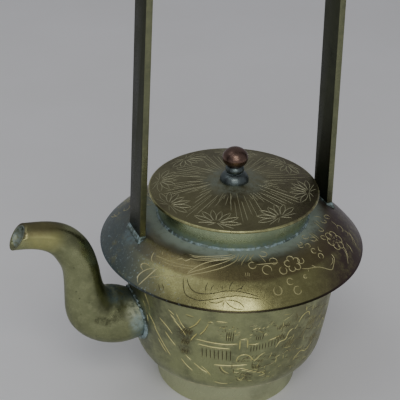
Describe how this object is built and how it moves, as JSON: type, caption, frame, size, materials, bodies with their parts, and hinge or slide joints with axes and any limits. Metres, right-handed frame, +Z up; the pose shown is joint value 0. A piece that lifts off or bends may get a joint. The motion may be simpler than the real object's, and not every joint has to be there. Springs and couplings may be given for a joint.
{
  "type": "teapot",
  "caption": "Brass teapot: bowl on a foot ring, wide domed brim, upright neck, lift-off lid with ball knob, S-shaped spout and tall flat strap handle.",
  "frame": {"origin": "centre of the foot ring on the surface that the pot stands on", "axes": "+Z up, -X towards the spout, the handle stands in the XZ plane"},
  "size_m": [0.1274, 0.094, 0.178],
  "materials": {
    "bowl_brass": "aged, engraved, satin",
    "foot_brass": "aged, plain, satin",
    "shoulder_brass": "aged, engraved, polished at the front, dark and blue-grey towards the edge",
    "neck_brass": "aged, plain, satin",
    "spout_brass": "aged, plain, satin",
    "handle_brass": "aged, dark green-grey",
    "lid_brass": "dark olive, engraved",
    "pedestal_metal": "dark blue-grey patina",
    "ball_copper": "copper brown, glossy",
    "solder": "grey solder with pale blue verdigris"
  },
  "bodies": {
    "pot": {"bowl": "bowl_brass", "foot_ring": "foot_brass", "shoulder": "shoulder_brass", "neck_collar": "neck_brass", "spout": "spout_brass", "spout_solder": "solder", "neck_solder": "solder", "shoulder_solder": "solder", "foot_solder": "solder", "handle": "handle_brass", "handle_solder_front": "solder", "handle_solder_rear": "solder"},
    "lid": {"lid_plate": "lid_brass", "lid_bezel": "neck_brass", "bezel_solder": "solder", "knob_pedestal": "pedestal_metal", "knob_ball": "ball_copper", "knob_washer": "neck_brass", "knob_rivet": "neck_brass"}
  },
  "joints": [
    {"name": "lid_lift", "type": "slide", "parent": "pot", "child": "lid", "axis": [0, 0, 1], "range_m": [0, 0.06]}
  ]
}
